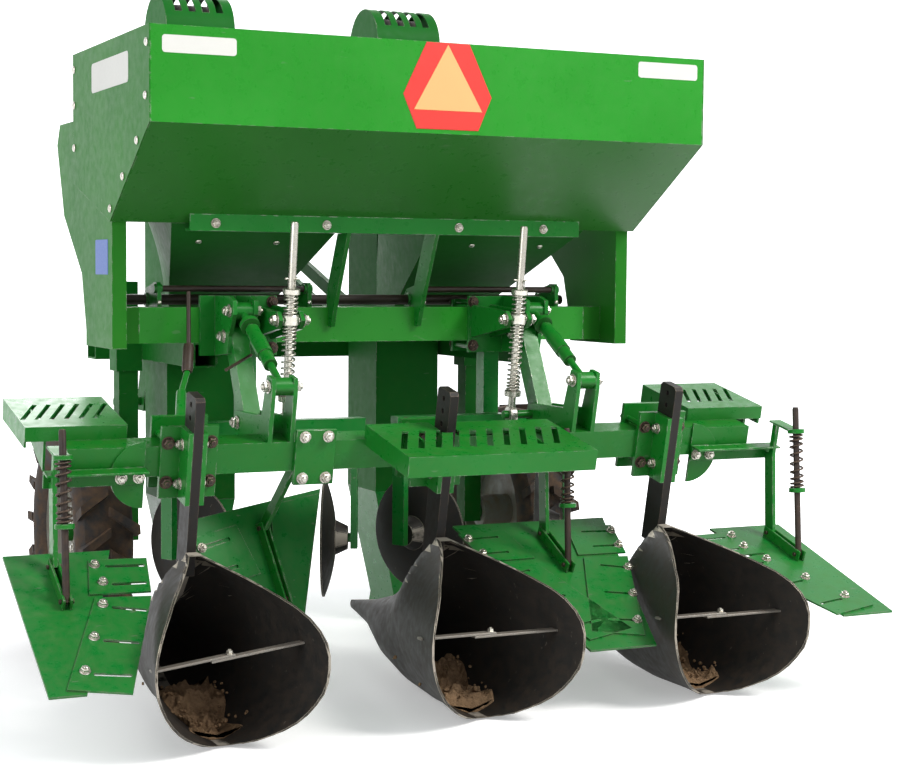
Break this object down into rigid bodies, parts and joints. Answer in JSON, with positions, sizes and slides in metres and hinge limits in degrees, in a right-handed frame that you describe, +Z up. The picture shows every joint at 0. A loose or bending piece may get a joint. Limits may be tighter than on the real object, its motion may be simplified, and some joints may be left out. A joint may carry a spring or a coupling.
{
  "type": "potato planter",
  "caption": "Mounted potato planter with a seed hopper, cup elevators, furrow openers, covering discs and ridging bodies on a sprung tool bar.",
  "frame": {"origin": "on the ground, below the middle of the main beam, at the centre of the bounding box's base", "axes": "+X to the machine's right, +Y in the direction of travel, +Z up"},
  "size_m": [2.32, 1.9742, 2.0089],
  "materials": {
    "green_paint": "semi-gloss bright green paint",
    "black_paint": "worn black paint on sheet steel",
    "dark_steel": "dark oiled steel",
    "tyre_rubber": "dusty black rubber",
    "rim_paint": "light grey rim paint",
    "zinc_steel": "zinc-plated steel",
    "belt_rubber": "black fabric-reinforced belt"
  },
  "bodies": {
    "frame": {"board_hangers": "green_paint", "cup_belts": "belt_rubber", "disc_arms": "green_paint", "drive_cover_left": "green_paint", "drive_cover_right": "green_paint", "elevator_left": "green_paint", "elevator_right": "green_paint", "feed_shafts": "dark_steel", "furrow_openers": "green_paint", "headstock": "green_paint", "hopper_rail": "green_paint", "hopper_shell": "green_paint", "hopper_side_left": "green_paint", "hopper_side_right": "green_paint", "link_brackets": "green_paint", "link_uprights": "green_paint", "lower_arms": "green_paint", "main_beam": "green_paint", "pressure_rods": "zinc_steel", "ridge_board_left_inner": "green_paint", "ridge_board_left_outer": "green_paint", "ridge_board_right_inner": "green_paint", "ridge_board_right_outer": "green_paint", "ridger_centre": "black_paint", "ridger_left": "black_paint", "ridger_right": "black_paint", "ridger_shanks": "dark_steel", "seed_funnels": "green_paint", "shank_clamps": "green_paint", "side_frames": "green_paint", "step_centre": "green_paint", "step_left": "green_paint", "step_right": "green_paint", "tool_bar": "green_paint", "turnbuckles": "green_paint", "wheel_arms": "green_paint"},
    "wheel_left": {"tyre_left": "tyre_rubber", "rim_left": "rim_paint"},
    "wheel_right": {"tyre_right": "tyre_rubber", "rim_right": "rim_paint"},
    "disc_left_low_x": {"disc_left_low_x": "black_paint"},
    "disc_left_high_x": {"disc_left_high_x": "black_paint"},
    "disc_right_low_x": {"disc_right_low_x": "black_paint"},
    "disc_right_high_x": {"disc_right_high_x": "black_paint"}
  },
  "joints": [
    {"name": "wheel_left_turns", "type": "hinge", "parent": "frame", "child": "wheel_left", "pos_m": [-0.725, 0.508, 0.358], "axis": [1, 0, 0], "continuous": true},
    {"name": "wheel_right_turns", "type": "hinge", "parent": "frame", "child": "wheel_right", "pos_m": [0.725, 0.508, 0.358], "axis": [1, 0, 0], "continuous": true},
    {"name": "disc_left_low_x_turns", "type": "hinge", "parent": "frame", "child": "disc_left_low_x", "pos_m": [-0.58, -0.064, 0.385], "axis": [0.9063, 0.4226, 0], "continuous": true},
    {"name": "disc_left_high_x_turns", "type": "hinge", "parent": "frame", "child": "disc_left_high_x", "pos_m": [-0.12, -0.064, 0.385], "axis": [-0.9063, 0.4226, 0], "continuous": true},
    {"name": "disc_right_low_x_turns", "type": "hinge", "parent": "frame", "child": "disc_right_low_x", "pos_m": [0.12, -0.064, 0.385], "axis": [0.9063, 0.4226, 0], "continuous": true},
    {"name": "disc_right_high_x_turns", "type": "hinge", "parent": "frame", "child": "disc_right_high_x", "pos_m": [0.58, -0.064, 0.385], "axis": [-0.9063, 0.4226, 0], "continuous": true}
  ]
}
